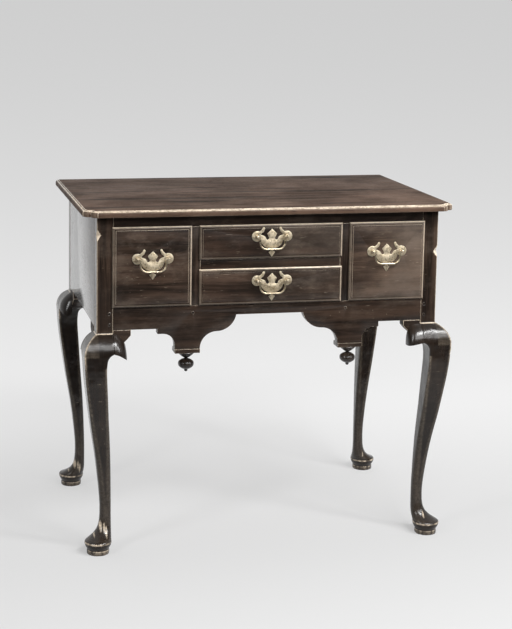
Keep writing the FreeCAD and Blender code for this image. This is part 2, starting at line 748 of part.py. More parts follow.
def handle_posts(x, z):
    """Two posts with round heads, and the square nuts that hold them inside the drawer."""
    pivot_y = face_y - plate_t - pivot_out
    parts = []
    for side in (-1, 1):
        px = x + side * post_x
        shank_end = core_back + nut_t + nut_past
        post = Part.makeCylinder(post_shank_r, shank_end - pivot_y, V(px, pivot_y, z), V(0, 1, 0))
        collar = Part.makeCylinder(post_head_r, collar_out, V(px, face_y - plate_t, z), V(0, -1, 0))
        post = post.fuse([collar, Part.makeSphere(post_head_r, V(px, pivot_y, z))])
        bore_from = px - side * (post_head_r + 1)
        bore = Part.makeCylinder(pin_r + pin_play, post_head_r + 2, V(bore_from, pivot_y, z), V(side, 0, 0))
        nut = box(px - nut_w / 2, px + nut_w / 2, core_back, core_back + nut_t,
                  z - nut_w / 2, z + nut_w / 2)
        thread = Part.makeCylinder(post_shank_r, nut_t + 2, V(px, core_back - 1, z), V(0, 1, 0))
        parts += [post.cut(bore), nut.cut(thread)]
    return parts


def drawer(name, x0, x1, z0, z1, up):
    """A lipped drawer for the opening x0 to x1, z0 to z1, with its handle."""
    aside, lift = handle_set[name]
    low, high = z0 + run_gap, z1 - drawer_play
    left, right = x0 + drawer_play, x1 - drawer_play
    side_top = high - side_drop
    groove = low + groove_z
    inner_left, inner_right = left + side_t, right - side_t
    back_front_y = drawer_end - side_t

    lip_low = z0 + lip_lift
    outer = (x0 - lip, x1 + lip, lip_low, z1 + lip)
    rise_y = lip_back - lip_edge
    wires = [upright(outer[0] + inset, outer[1] - inset, outer[2] + inset, outer[3] - inset, rise_y - rise)
             for inset, rise in ovolo(lip_mould_w * 0.85, rise_y - face_y - lip_quirk)]
    field = plate(upright(outer[0] + lip_mould_w, outer[1] - lip_mould_w, outer[2] + lip_mould_w,
                          outer[3] - lip_mould_w, lip_back), V(0, face_y - lip_back, 0))
    slab = box(outer[0], outer[1], rise_y, lip_back, outer[2], outer[3])
    core = box(left, right, lip_back, core_back, low, high)
    front = slab.fuse([Part.makeLoft(wires, True, True), field, core])

    side_tails, boards = [], []
    tail_low, tail_high = groove + groove_w + tail_edge, side_top - tail_edge
    for a, b in ((left, inner_left), (inner_right, right)):
        ends = tails(a, b, tail_low, tail_high, core_back, core_back - tail_l)
        ends += tails(a, b, tail_low, tail_high, back_front_y, drawer_end)
        side_tails += ends
        boards.append(box(a, b, core_back, back_front_y, low, side_top).fuse(ends))
    foot = [box(a, b, back_front_y, drawer_end, low, groove + groove_w)
            for a, b in ((left, inner_left), (inner_right, right))]
    channel = box(inner_left - groove_d, inner_right + groove_d, core_back - groove_d, drawer_end,
                  groove, groove + groove_w)
    sides = [board.fuse(end).cut(channel) for board, end in zip(boards, foot)]

    mid_x = (x0 + x1) / 2 + aside
    mid_z = (lip_low + z1 + lip) / 2 + up + lift
    bolt_r, bolt_l = post_shank_r + hole_play, core_back - face_y + 2
    bolt_holes = [Part.makeCylinder(bolt_r, bolt_l, V(mid_x + side * post_x, face_y - 1, mid_z), V(0, 1, 0))
                  for side in (-1, 1)]
    front_groove = box(inner_left, inner_right, core_back - groove_d, core_back, groove, groove + groove_w)
    front = front.cut(side_tails + bolt_holes + [front_groove])
    back = box(left, right, back_front_y, drawer_end, groove + groove_w, side_top).cut(side_tails)
    edge_in = groove_d - drawer_play
    thin = box(inner_left - edge_in, inner_right + edge_in, core_back + drawer_play, drawer_end,
               groove, groove + groove_w)
    tongue = box(inner_left + drawer_play, inner_right - drawer_play, core_back - edge_in,
                 core_back + edge_in, groove, groove + groove_w)
    thick = box(inner_left + drawer_play, inner_right - drawer_play, core_back + drawer_play, drawer_end,
                groove + groove_w - bottom_t, groove + groove_w)

    export("drawer_%s_front" % name, front)
    export("drawer_%s_sides" % name, sides)
    export("drawer_%s_back" % name, back)
    export("drawer_%s_bottom" % name, joined([thin, thick, tongue]))
    export("handle_%s_plate" % name, handle_plate(mid_x, mid_z))
    export("handle_%s_posts" % name, handle_posts(mid_x, mid_z))
    export("handle_%s_bail" % name, bail(mid_x, mid_z))


drawer("left", -post_in, -divider_out, floor_z, ceiling_z, handle_up)
drawer("right", divider_out, post_in, floor_z, ceiling_z, handle_up)
drawer("upper", -centre_half, centre_half, upper_z, ceiling_z, handle_up_wide)
drawer("lower", -centre_half, centre_half, floor_z, mid_z, handle_up_wide)
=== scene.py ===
import json
import math
import bmesh
import bpy
from mathutils import Matrix, Vector, noise

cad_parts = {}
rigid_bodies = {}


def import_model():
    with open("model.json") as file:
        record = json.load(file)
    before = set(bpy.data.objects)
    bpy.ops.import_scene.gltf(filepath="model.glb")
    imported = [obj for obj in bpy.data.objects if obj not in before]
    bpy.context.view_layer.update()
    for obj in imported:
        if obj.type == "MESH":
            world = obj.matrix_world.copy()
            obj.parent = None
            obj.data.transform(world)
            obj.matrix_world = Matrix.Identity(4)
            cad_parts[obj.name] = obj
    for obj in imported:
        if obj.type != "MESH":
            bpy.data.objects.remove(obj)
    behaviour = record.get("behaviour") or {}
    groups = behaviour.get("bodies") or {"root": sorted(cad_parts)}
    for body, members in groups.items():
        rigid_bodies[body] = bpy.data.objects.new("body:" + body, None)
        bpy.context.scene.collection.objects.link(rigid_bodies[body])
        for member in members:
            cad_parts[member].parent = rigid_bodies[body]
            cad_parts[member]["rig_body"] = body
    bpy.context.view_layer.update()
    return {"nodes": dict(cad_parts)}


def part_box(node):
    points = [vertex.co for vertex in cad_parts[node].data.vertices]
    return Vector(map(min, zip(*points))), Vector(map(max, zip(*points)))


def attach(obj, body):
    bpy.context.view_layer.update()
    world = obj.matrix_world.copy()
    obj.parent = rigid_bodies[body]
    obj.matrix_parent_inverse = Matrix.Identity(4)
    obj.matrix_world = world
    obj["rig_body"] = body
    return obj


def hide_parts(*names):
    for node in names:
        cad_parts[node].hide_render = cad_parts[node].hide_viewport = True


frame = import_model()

nodes = frame["nodes"]

# Legs
# Each leg is one length of dark hardwood: a square post above the knee line, a cabriole shank that
# swells at the knee, and a turned pad foot on a disc.  Sawn, shaved and waxed, and worn pale on
# its ridges and round the foot.  Pale lines round the top of the knee and down the posts' inner
# edges are painted highlights, and pale streaks up the instep are worn wood and painted highlight.
leg_voxel = 0.0017
ridge_full = 0.00022        # a point that stands out this far from its neighbours is rubbed bare
knee_line_z = 0.513
shank_top_z = 0.44
apron_top_z = 0.572
front_face_y = -0.255
post_inner_x = 0.363
outer_ridge_x = 0.397       # above the shank only what stands further out than this is rubbed
post_seam = 0.0012
knee_seam = 0.0011
seam_step = 0.002
# The mesh marks how pale each point is: wear, and painted highlights on mouldings, seams and
# insteps
wear_highlight_layer = "wear_and_highlight"
knocks = 0.55               # how plain scratches, dents and scuffs are on all the dark wood
leg_brown = (0.008, 0.005, 0.0035)
leg_lit_brown = (0.019, 0.012, 0.008)
board_brown = (0.010, 0.0062, 0.0043)
board_lit_brown = (0.066, 0.041, 0.028)
pore_brown = (0.006, 0.004, 0.003)
# Pale of bare wood, shown where wear is marked and where highlights are painted
wear_highlight_pale = (0.76, 0.63, 0.48)
# Haze colour of the wood, also the colour of the painted glare on the drawer fronts
haze_and_glare_brown = (0.15, 0.115, 0.09)


def link(tree, source, target):
    tree.links.new(source, target)


def pattern(tree, kind, vector, **sockets):
    """A texture read at vector, with its plain numbers set on its own sockets; its first output."""
    node = tree.nodes.new("ShaderNodeTex" + kind)
    link(tree, vector, node.inputs["Vector"])
    for name, value in sockets.items():
        node.inputs[name].default_value = value
    return node.outputs[0]


def banded(tree, value, low, high, bottom=0.0, top=1.0):
    """value between low and high, spread over bottom to top."""
    node = tree.nodes.new("ShaderNodeMapRange")
    node.interpolation_type = "SMOOTHSTEP"
    link(tree, value, node.inputs["Value"])
    limits = (("From Min", low), ("From Max", high), ("To Min", bottom), ("To Max", top))
    for socket, number in limits:
        node.inputs[socket].default_value = number
    return node.outputs["Result"]


def blended(tree, factor, first, second):
    """Two colours mixed by a factor; each colour is a tuple or another node's output."""
    node = tree.nodes.new("ShaderNodeMix")
    node.data_type = "RGBA"
    link(tree, factor, node.inputs[0])
    for socket, colour in ((node.inputs[6], first), (node.inputs[7], second)):
        if isinstance(colour, tuple):
            socket.default_value = (*colour, 1.0)
        else:
            link(tree, colour, socket)
    return node.outputs[2]


def counted(tree, how, first, second):
    """Arithmetic on two values; each is a number or another node's output."""
    node = tree.nodes.new("ShaderNodeMath")
    node.operation = how
    for socket, value in zip(node.inputs, (first, second)):
        if isinstance(value, (int, float)):
            socket.default_value = value
        else:
            link(tree, value, socket)
    return node.outputs[0]


def stretched(tree, place, shift, scale, turn=0.0):
    """Object coordinates moved by shift, turned about Y and scaled, so that marks run long."""
    node = tree.nodes.new("ShaderNodeMapping")
    node.inputs["Location"].default_value = shift
    node.inputs["Rotation"].default_value = (0.0, turn, 0.0)
    node.inputs["Scale"].default_value = scale
    link(tree, place, node.inputs["Vector"])
    return node.outputs["Vector"]


def fresh_material(name):
    """A new material, its node tree, its shader and the object coordinates it is painted by."""
    material = bpy.data.materials.new(name)
    material.use_nodes = True
    tree = material.node_tree
    place = tree.nodes.new("ShaderNodeTexCoord").outputs["Object"]
    return material, tree, tree.nodes["Principled BSDF"], place


def wear_highlight_marks(tree):
    """How pale each point was marked on its mesh: wear, and on the wood also painted highlights."""
    edge = tree.nodes.new("ShaderNodeAttribute")
    edge.attribute_name = wear_highlight_layer
    return edge.outputs["Fac"]


def bumped(tree, shader, relief, strength, distance):
    """Gives the shader's surface a relief, distance metres high, and returns its normal."""
    bump = tree.nodes.new("ShaderNodeBump")
    bump.inputs["Strength"].default_value = strength
    bump.inputs["Distance"].default_value = distance
    link(tree, relief, bump.inputs["Height"])
    link(tree, bump.outputs["Normal"], shader.inputs["Normal"])
    return bump.outputs["Normal"]


def waxed_wood(name, along, shift, dark=board_brown, lit=board_lit_brown, shine=0.34, coat=0.6,
               streaks=1.0, bare=0.2, rub=1.0, shaved=0.0, mottle=0.45, painted_glare=None,
               specular=0.16, coat_rough=0.11):
    """Old dark hardwood under wax: streaks, fibres and pores along one axis, blotches, pale knocks,
    and pale where its mesh is marked, for wear and for painted highlights; rub scales those marks.
    The glare argument is where a painted glare pales it along X, broken by the haze: from, to, and
    how much at each."""
    material, tree, shader, place = fresh_material(name)
    grain = stretched(tree, place, shift, [0.06 if axis == along else 1.0 for axis in "XYZ"])
    slant = stretched(tree, place, shift, (0.12, 1.0, 1.0), turn=0.35)
    drift = stretched(tree, place, shift, (0.5, 1.0, 1.0))
    figure = pattern(tree, "Noise", grain, Scale=42.0, Detail=9.0, Roughness=0.62, Distortion=0.5)
    fibre = pattern(tree, "Noise", grain, Scale=310.0, Detail=4.0, Roughness=0.6)
    pores = pattern(tree, "Noise", grain, Scale=620.0, Detail=3.0, Roughness=0.5)
    blotch = pattern(tree, "Noise", place, Scale=7.0, Detail=4.0, Roughness=0.55)
    scuffs = pattern(tree, "Noise", place, Scale=95.0, Detail=5.0, Roughness=0.7, Distortion=1.5)
    scratch = pattern(tree, "Noise", slant, Scale=420.0, Detail=2.0, Roughness=0.4)
    dents = pattern(tree, "Voronoi", place, Scale=60.0, Randomness=1.0)
    haze = pattern(tree, "Noise", drift, Scale=16.0, Detail=7.0, Roughness=0.7)
    wear_highlight = wear_highlight_marks(tree)

    colour = blended(tree, banded(tree, figure, 0.36, 0.36 + 0.30 / streaks), dark, lit)
    colour = blended(tree, banded(tree, fibre, 0.50, 0.64, 0.0, 0.6), colour, lit)
    colour = blended(tree, banded(tree, pores, 0.56, 0.70, 0.0, 0.6), colour, pore_brown)
    colour = blended(tree, banded(tree, blotch, 0.35, 0.65, 0.0, mottle), colour, dark)
    colour = blended(tree, banded(tree, haze, 0.46, 0.68, 0.0, 0.5 * mottle), colour, haze_and_glare_brown)
    # Painted glare: the front pales towards its right along X, in the haze colour
    if painted_glare:
        across = tree.nodes.new("ShaderNodeSeparateXYZ")
        link(tree, place, across.inputs[0])
        glare_mask = counted(tree, "MULTIPLY", banded(tree, across.outputs["X"], *painted_glare), haze)
        colour = blended(tree, glare_mask, colour, haze_and_glare_brown)

    handled = banded(tree, blotch, 0.62, 0.40)
    scratched = banded(tree, scratch, 0.71, 0.77, 0.0, 0.30 * knocks)
    dented = banded(tree, dents, 0.07, 0.04, 0.0, 0.30 * knocks)
    scuffed = banded(tree, scuffs, 0.68, 0.76, 0.0, 0.22 * knocks)
    knocked = counted(tree, "MULTIPLY", handled, counted(tree, "MAXIMUM", scratched, dented))
    knocked = counted(tree, "MAXIMUM", knocked, scuffed)
    # Pale where the mesh is marked: wear, and painted highlights
    paled = counted(tree, "MULTIPLY", wear_highlight, banded(tree, scuffs, 0.34, 0.60, bare * rub, rub))
    colour = blended(tree, counted(tree, "MAXIMUM", paled, knocked), colour, wear_highlight_pale)
    link(tree, colour, shader.inputs["Base Color"])

    sheen = banded(tree, blotch, 0.3, 0.7, shine - 0.05, shine + 0.10)
    sheen = counted(tree, "ADD", sheen, banded(tree, scuffs, 0.50, 0.70, 0.0, 0.18))
    sheen = counted(tree, "ADD", sheen, banded(tree, fibre, 0.45, 0.70, 0.0, 0.10))
    link(tree, sheen, shader.inputs["Roughness"])

    relief = counted(tree, "ADD", figure, counted(tree, "MULTIPLY", pores, -0.8))
    relief = counted(tree, "ADD", relief, counted(tree, "MULTIPLY", knocked, -1.2))
    if shaved:
        strokes = pattern(tree, "Noise", place, Scale=26.0, Detail=2.0, Roughness=0.5)
        relief = counted(tree, "ADD", relief, counted(tree, "MULTIPLY", strokes, shaved))
    link(tree, bumped(tree, shader, relief, 0.45, 0.0004), shader.inputs["Coat Normal"])

    polish = counted(tree, "MINIMUM", counted(tree, "MAXIMUM", wear_highlight, coat), 1.0)
    link(tree, polish, shader.inputs["Coat Weight"])
    shader.inputs["Coat Roughness"].default_value = coat_rough
    shader.inputs["Specular IOR Level"].default_value = specular
    return material


def merged_copy(node):
    """A bmesh of a node's triangles, with its doubles merged and its flat faces whole again."""
    bm = bmesh.new()
    bm.from_mesh(nodes[node].data)
    bmesh.ops.remove_doubles(bm, verts=bm.verts, dist=2e-6)
    bmesh.ops.dissolve_limit(bm, angle_limit=math.radians(0.4), verts=bm.verts, edges=bm.edges)
    return bm


def mark_ridges(bm):
    """Marks how far each point stands out from its neighbours, where hands and cloths rub."""
    bm.verts.layers.float.new(wear_highlight_layer)
    mark = bm.verts.layers.float[wear_highlight_layer]
    bm.normal_update()
    for v in bm.verts:
        if v.link_edges:
            around = sum((e.other_vert(v).co for e in v.link_edges), Vector())
            middle = around / len(v.link_edges)
            v[mark] = min(1.0, max(0.0, (v.co - middle).dot(v.normal) / ridge_full))


def paint_seam_highlights(bm):
    """Paints highlights as pale lines: full round the top of the knee, weaker down the posts' inner
    edges beside the apron; above the shank it clears the ridge marks except on the outermost parts,
    and below the top of the shank it weakens them.
    """
    mark = bm.verts.layers.float[wear_highlight_layer]
    for v in bm.verts:
        beside = abs(abs(v.co.x) - post_inner_x) < post_seam
        on_front = abs(v.co.y - front_face_y) < post_seam
        on_knee_line = abs(v.co.z - knee_line_z) < knee_seam
        on_post_edge = beside and on_front and knee_line_z < v.co.z < apron_top_z
        if on_knee_line or on_post_edge:
            v[mark] = 1.0 if v.co.z < knee_line_z + seam_step else 0.55
        elif abs(v.co.x) < outer_ridge_x and v.co.z > shank_top_z:
            v[mark] = 0.0
        elif v.co.z < shank_top_z:
            v[mark] *= 0.3


# Heights on the foot, in mm: the top of the pad, and the rims of the pad and of its disc
pad_top = 31.0
pad_rim = (25.5, 29.5)
disc_rim = (8.0, 10.4)
# Pale streaks up the front of the instep, worn wood and painted highlight, in mm: to the right of
# the foot's middle, height, half length, half width
instep_streaks = ((6.0, 61.0, 14.0, 4.0), (14.0, 58.0, 13.0, 2.2), (18.5, 50.0, 15.0, 3.0),
                  (-9.0, 47.0, 9.0, 2.2))


def mark_foot_wear_and_highlights(bm, foot_x, foot_y):
    """Marks pale streaks up the front of the instep, worn wood and painted highlight, and the wear
    of shoes and brooms round the pad and its disc.
    """
    mark = bm.verts.layers.float[wear_highlight_layer]
    for v in bm.verts:
        angle = math.degrees(math.atan2(v.co.y - foot_y, v.co.x - foot_x))
        broken = noise.noise(Vector((0.06 * angle, 7.0 * foot_x, 40.0 * v.co.z)))
        patch = min(1.0, max(0.15, 0.6 + 1.5 * broken))
        across = v.co.x * 1000 - foot_x * 1000
        height = v.co.z * 1000
        if height > pad_top and v.normal.y < 0:
            for right, middle, tall, wide in instep_streaks:
                off = math.hypot((across - right) / wide, (height - middle) / tall)
                v[mark] = max(v[mark], min(1.0, 1.8 * (1.0 - off)))
        elif pad_rim[0] < height < pad_rim[1] or disc_rim[0] < height < disc_rim[1]:
            v[mark] = patch
        elif height < pad_top:
            v[mark] = 0.25 * patch if height < disc_rim[0] else 0.0


chip_reach = 0.02


def knock_off_corner(bm, corner_x, z, tall, deep, pale):
    """Pushes a V-shaped chip into the outer front corner of a post, and marks how pale it is."""
    mark = bm.verts.layers.float[wear_highlight_layer]
    inwards = Vector((-math.copysign(1.0, corner_x), 1.0, 0.0)).normalized()
    corner = Vector((corner_x, front_face_y, 0.0))
    for v in bm.verts:
        depth = deep * (1.0 - abs(v.co.z - z) / tall)
        held = Vector((v.co.x, v.co.y, 0.0)) - corner
        if depth > 0 and held.length < chip_reach and held.dot(inwards) < depth:
            v.co += inwards * (depth - held.dot(inwards))
            v[mark] = pale


def placed(name, data):
    """A new object in the scene, at the origin."""
    item = bpy.data.objects.new(name, data)
    bpy.context.scene.collection.objects.link(item)
    return item


def finished(bm, name, stands_for, material, sharp=34.0):
    """Turns a bmesh into a piece of the object that stands for its CAD nodes."""
    mesh = bpy.data.meshes.new(name)
    bm.to_mesh(mesh)
    bm.free()
    mesh.shade_smooth()
    if sharp:
        mesh.set_sharp_from_angle(angle=math.radians(sharp))
    mesh.materials.append(material)
    piece = placed(name, mesh)
    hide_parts(*stands_for)
    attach(piece, nodes[stands_for[0]]["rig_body"])
    return piece


foot_middles = {"front_left": (-0.3945, -0.2495), "front_right": (0.3945, -0.2495),
                "rear_left": (-0.3945, 0.2495), "rear_right": (0.3945, 0.2495)}
# The front posts have lost a splinter from the corner: its x and z, how tall, how deep, how pale
chips = {"front_left": (-0.400, 0.737, 0.014, 0.0060, 3.0),
         "front_right": (0.400, 0.683, 0.014, 0.0070, 3.0)}
for count, place in enumerate(foot_middles):
    rough = merged_copy("leg_" + place)
    blank = bpy.data.meshes.new("leg_blank")
    rough.to_mesh(blank)
    rough.free()
    holder = placed("leg_blank", blank)
    remesh = holder.modifiers.new("shaved", "REMESH")
    remesh.mode = "VOXEL"
    remesh.voxel_size = leg_voxel
    smoothing = holder.modifiers.new("eased", "SMOOTH")
    smoothing.factor = 0.5
    smoothing.iterations = 3
    shaped = bpy.data.meshes.new_from_object(
        holder.evaluated_get(bpy.context.evaluated_depsgraph_get()))
    bpy.data.objects.remove(holder)
    bm = bmesh.new()
    bm.from_mesh(shaped)
    mark_ridges(bm)
    paint_seam_highlights(bm)
    mark_foot_wear_and_highlights(bm, *foot_middles[place])
    if place in chips:
        knock_off_corner(bm, *chips[place])
    shift = (0.31 * count, 0.7, 1.9 * count)
    wood = waxed_wood("leg_wood_" + place, "Z", shift, leg_brown, leg_lit_brown, shine=0.26,
                      coat=0.85, bare=0.35, shaved=12.0, mottle=0.15, specular=0.1,
                      coat_rough=0.19)
    leg = finished(bm, "cabriole_leg_" + place, ["leg_" + place], wood, sharp=0)
    leg.data.materials.append(waxed_wood("post_wood_" + place, "Z", shift, bare=0.5))
    for face in leg.data.polygons:
        face.material_index = int(face.center.z > knee_line_z)

# Boards of the case
# Rails, dividers, side boards, apron and knee blocks: planed boards tenoned into the posts, their
# edges eased by use.  The brackets behind the knees are sawn from the same stuff.
board_ease = 0.0007
block_ease = 0.0012


def eased(node, ease=board_ease, segments=2, bend=28.0):
    """A copy of a board with its sharp edges rounded over, and the rounding marked as rubbed."""
    bm = merged_copy(node)
    bm.faces.layers.float.new(wear_highlight_layer)
    mark = bm.faces.layers.float[wear_highlight_layer]
    corners = [e for e in bm.edges if e.is_manifold and e.calc_face_angle() > math.radians(bend)]
    made = bmesh.ops.bevel(bm, geom=corners, offset=ease, offset_type="OFFSET", segments=segments,
                           profile=0.5, affect="EDGES", clamp_overlap=True, material=-1)
    for face in made["faces"]:
        face[mark] = 1.0
    return bm


front_boards = (("top_rail", "X", (0.0, 0.4, 0.9)), ("middle_rail", "X", (1.3, 0.2, 0.5)),
                ("divider_left", "Z", (2.2, 0.1, 0.4)), ("divider_right", "Z", (0.7, 1.1, 2.4)),
                ("apron", "X", (3.1, 0.6, 0.2)))
for node, along, shift in front_boards:
    wood = waxed_wood(node + "_wood", along, shift, lit=(0.052, 0.032, 0.022))
    finished(eased(node), node + "_board", [node], wood)

for side, shift in (("left", (0.3, 2.0, 0.8)), ("right", (1.9, 0.2, 3.3))):
    wood = waxed_wood("side_wood_" + side, "Y", shift, shine=0.24, coat=1.0, specular=0.5)
    node = "side_board_" + side
    finished(eased(node), "side_panel_" + side, [node], wood)

knee_blocks = ("front_left_front", "front_left_side", "front_right_front", "front_right_side",
               "rear_left_side", "rear_right_side")
for count, place in enumerate(knee_blocks):
    wood = waxed_wood("knee_wood_" + place, "Z", (0.9 * count, 0.3, 1.0), leg_brown,
                      leg_lit_brown, shine=0.26, coat=0.9, shaved=8.0, rub=0.3, mottle=0.15,
                      coat_rough=0.17)
    node = "knee_block_" + place
    finished(eased(node, block_ease, 3), "knee_ear_" + place, [node], wood)

bracket_wood = waxed_wood("bracket_wood", "X", (0.4, 2.7, 0.1), shine=0.5, coat=0.1)
finished(eased("brackets"), "bracket_set", ["brackets"], bracket_wood)

# Pegs
# Split hardwood pegs through the tenons, driven from outside and left a little proud.  Dark as the
# legs, with the rim a little rubbed.
peg_brown = (0.008, 0.005, 0.004)
peg_lit_brown = (0.02, 0.013, 0.009)
peg_wood = waxed_wood("peg_wood", "Y", (5.0, 0.2, 0.9), peg_brown, peg_lit_brown, rub=0.25)
finished(eased("pegs", 0.0005, bend=40.0), "tenon_pegs", ["pegs"], peg_wood)

# Pendants
# A square plinth under each foot of the apron and a turned drop below it: collar, thin neck, a
# flattened ball with a line cut round it, and a small nib.
drop_tenon_r = 0.005
# Radius and distance below the plinth's underside, in mm
drop_profile = (
    (5.0, 0.0), (17.9, 0.0), (18.4, 0.6), (18.6, 1.7), (18.3, 2.9), (17.5, 3.7), (14.9, 6.6),
    (11.7, 9.2), (8.0, 11.7), (5.0, 13.5), (3.5, 14.4), (3.3, 14.8), (3.7, 15.1), (6.0, 15.8),
    (9.6, 17.1), (12.8, 18.9), (15.4, 20.9), (16.9, 22.0), (17.0, 22.3), (16.2, 22.5),
    (16.2, 23.1), (17.3, 23.3), (18.1, 25.0), (18.35, 27.5), (18.0, 30.2), (16.9, 32.6),
    (14.8, 35.0), (11.9, 37.3), (8.6, 39.1), (5.6, 40.1), (4.6, 40.5), (4.2, 41.2),
    (4.1, 42.6), (3.7, 44.0), (2.9, 45.2), (1.6, 46.0))
for side, plinth_shift, drop_shift in (("left", (0.2, 1.4, 0.6), (1.1, 0.3, 0.2)),
                                       ("right", (0.2, 1.4, 1.8), (1.1, 0.3, 2.1))):
    wood = waxed_wood("plinth_wood_" + side, "X", plinth_shift)
    node = "pendant_plinth_" + side
    finished(eased(node, block_ease, 3), "apron_plinth_" + side, [node], wood)
    low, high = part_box("pendant_drop_" + side)
    middle = (low + high) / 2
    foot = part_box("pendant_plinth_" + side)[0].z
    bm = bmesh.new()
    line = [bm.verts.new((drop_tenon_r, 0.0, high.z))]
    line += [bm.verts.new((r / 1000, 0.0, foot - down / 1000)) for r, down in drop_profile]
    line += [bm.verts.new((0.0, 0.0, low.z))]
    edges = [bm.edges.new(pair) for pair in zip(line, line[1:])]
    bmesh.ops.spin(bm, geom=line + edges, cent=(0, 0, 0), axis=(0, 0, 1), angle=math.tau,
                   steps=64, use_merge=True)
    bmesh.ops.remove_doubles(bm, verts=bm.verts, dist=1e-6)
    bmesh.ops.holes_fill(bm, edges=bm.edges, sides=0)
    bmesh.ops.translate(bm, verts=bm.verts, vec=(middle.x, middle.y, 0))
    bmesh.ops.recalc_face_normals(bm, faces=bm.faces)
    wood = waxed_wood("drop_wood_" + side, "Z", drop_shift, leg_brown, leg_lit_brown, shine=0.24,
                      coat=1.0)
    finished(bm, "turned_drop_" + side, ["pendant_drop_" + side], wood, sharp=50)

# Top
# A thin board, its grain lengthwise, with a small quarter-round moulding below a square step and
# two lobes cut at each front corner.  Rubbed dull by use, so it shines less than the sides.
top_brown = (0.007, 0.0044, 0.003)
top_lit_brown = (0.120, 0.075, 0.053)
flat_normal = 0.985         # a face that looks this nearly along an axis is no part of a moulding
# How pale the downward-looking round of a moulding stays: it is in shade, so it gets little of the
# pale mark
shaded_lower_edge_mark = 0.1


def paint_moulding_highlights(bm, steep, upper, right, other):
    """Paints a highlight on a moulding's round: pale most where it looks up, less where it looks
    right, and little on its lower edge, which is in shade.
    """
    mark = bm.faces.layers.float[wear_highlight_layer]
    bm.normal_update()
    for face in bm.faces:
        x, y, z = face.normal
        if max(abs(x), abs(y), abs(z)) < flat_normal:
            paled = upper if z > steep else right if x > 0.3 else other
            face[mark] = shaded_lower_edge_mark if z < -0.2 else max(face[mark] * 0.8, paled)


top_wood = waxed_wood("top_wood", "X", (0.5, 0.9, 0.1), top_brown, top_lit_brown, shine=0.50,
                      coat=0.0, streaks=2.2, bare=0.35, specular=0.06)
board = eased("top_board", 0.0009, 3, bend=40.0)
# Painted highlight on the moulding's round: full where it looks up, less at the right end
paint_moulding_highlights(board, steep=0.65, upper=1.0, right=0.25, other=0.1)
finished(board, "table_top_board", ["top_board"], top_wood)

# Inside of the case
# Softwood, sawn and left bare, gone brown with age: back board, runners, guides, kickers and the
# glue blocks under the top.
inner_ease = 0.0008
pine_pale = (0.30, 0.20, 0.125)
pine_dark = (0.15, 0.09, 0.055)
pine_stain = (0.09, 0.06, 0.04)


def bare_softwood(name, along, shift, pale=pine_pale, dark=pine_dark):
    """Old bare softwood: growth lines along one axis, dust and dark stains, no finish."""
    material, tree, shader, place = fresh_material(name)
    grain = stretched(tree, place, shift, [0.05 if axis == along else 1.0 for axis in "XYZ"])
    rings = pattern(tree, "Noise", grain, Scale=85.0, Detail=6.0, Roughness=0.55, Distortion=0.9)
    fibre = pattern(tree, "Noise", grain, Scale=700.0, Detail=2.0, Roughness=0.5)
    stain = pattern(tree, "Noise", place, Scale=9.0, Detail=5.0, Roughness=0.6)
    colour = blended(tree, banded(tree, rings, 0.42, 0.60), pale, dark)
    colour = blended(tree, banded(tree, fibre, 0.5, 0.75, 0.0, 0.3), colour, dark)
    colour = blended(tree, banded(tree, stain, 0.45, 0.75, 0.0, 0.6), colour, pine_stain)
    link(tree, colour, shader.inputs["Base Color"])
    link(tree, banded(tree, stain, 0.3, 0.7, 0.72, 0.9), shader.inputs["Roughness"])
    bumped(tree, shader, counted(tree, "ADD", rings, fibre), 0.5, 0.0004)
    shader.inputs["Specular IOR Level"].default_value = 0.3
    return material


inner_boards = (("back_board", "X", (0.2, 0.5, 1.7)), ("side_runners", "Y", (1.2, 0.5, 0.7)),
                ("inner_runners", "Y", (2.2, 0.1, 0.9)), ("upper_runners", "Y", (0.2, 1.5, 2.7)),
                ("kickers", "Y", (3.2, 0.9, 0.3)), ("drawer_guides", "Y", (0.6, 2.5, 1.1)),
                ("glue_blocks", "Y", (1.0, 0.2, 2.3)))
for node, along, shift in inner_boards:
    finished(eased(node, inner_ease), node + "_stock", [node],
             bare_softwood(node + "_softwood", along, shift))

# Drawers
# Hardwood fronts with a thumb-moulded lip on all four edges, dovetailed to thin softwood sides; the
# bottom slides into grooves.  The right-hand front is a little paler than the others.
drawer_ease = 0.0006
drawer_pine_pale = (0.36, 0.25, 0.16)
drawer_pine_dark = (0.20, 0.13, 0.08)
field_edge = 0.0009         # how far behind the face the upper edge of the field reaches
field_edge_wear_and_highlight = 0.05
